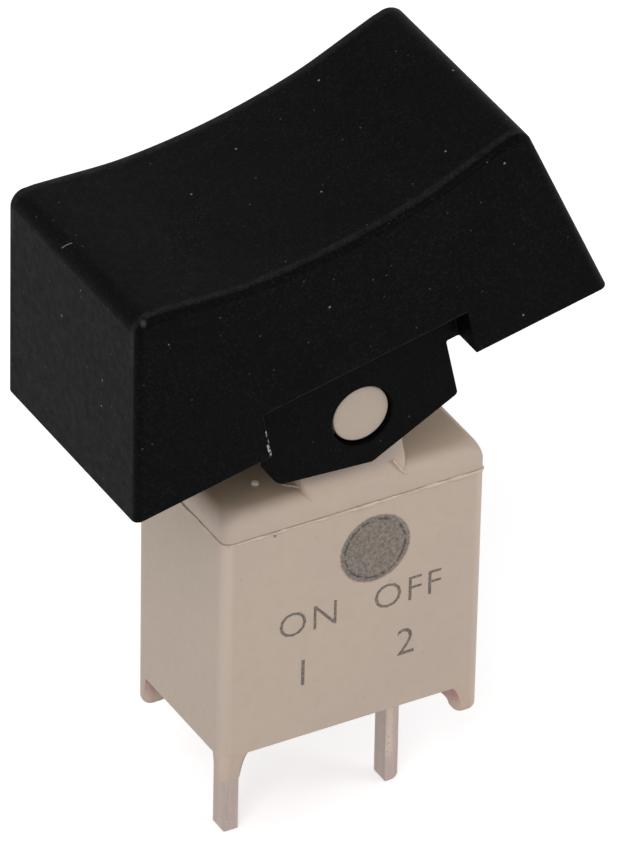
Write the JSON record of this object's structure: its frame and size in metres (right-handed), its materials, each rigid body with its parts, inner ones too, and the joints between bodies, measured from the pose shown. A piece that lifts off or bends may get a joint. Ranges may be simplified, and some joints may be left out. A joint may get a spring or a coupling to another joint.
{
  "type": "rocker switch",
  "caption": "Miniature rocker switch for circuit boards: black rocker on a cream sealed housing with corner feet and straight solder terminals.",
  "frame": {"origin": "centre of the footprint of the four corner feet, on the circuit board's surface", "axes": "+X along the housing's length toward the switched terminal, +Y across it, +Z away from the board through the rocker"},
  "size_m": [0.0145, 0.0074, 0.0228],
  "materials": {
    "housing_plastic": "satin cream thermoplastic, faintly mottled",
    "rocker_plastic": "fine matte black nylon with dust and small scuffs",
    "follower_plastic": "smooth natural acetal",
    "spring_wire": "bright drawn spring wire",
    "contact_strip": "silver plated copper alloy strip",
    "contact_silver": "silver contact face",
    "terminal_plate": "dull tin over copper alloy",
    "seal_resin": "reddish brown casting resin"
  },
  "bodies": {
    "housing": {"case": "housing_plastic", "cover": "housing_plastic", "terminal_common": "terminal_plate", "terminal_switched": "terminal_plate", "fixed_contact": "contact_silver", "terminal_seal": "seal_resin"},
    "rocker": {"rocker": "rocker_plastic", "spring": "spring_wire"},
    "follower": {"follower": "follower_plastic"},
    "blade": {"contact_blade": "contact_strip", "moving_contact": "contact_silver"}
  },
  "joints": [
    {"name": "rocker_pivot", "type": "hinge", "parent": "housing", "child": "rocker", "pos_m": [0, 0, 0.0112], "axis": [0, 1, 0], "range_deg": [0, 24.8]},
    {"name": "contact_rock", "type": "hinge", "parent": "housing", "child": "blade", "pos_m": [0, 0, 0.00322], "axis": [0, 1, 0], "range_deg": [-12.4, 0]},
    {"name": "follower_slide", "type": "slide", "parent": "rocker", "child": "follower", "axis": [-0.2147, 0, 0.9767], "range_m": [-0.000339, 0], "stiffness_N_per_m": 5, "springref_m": -0.00034, "deforming": ["spring"]}
  ],
  "couplings": [
    {"joint": "contact_rock", "follows": "rocker_pivot", "ratio": -0.5}
  ]
}
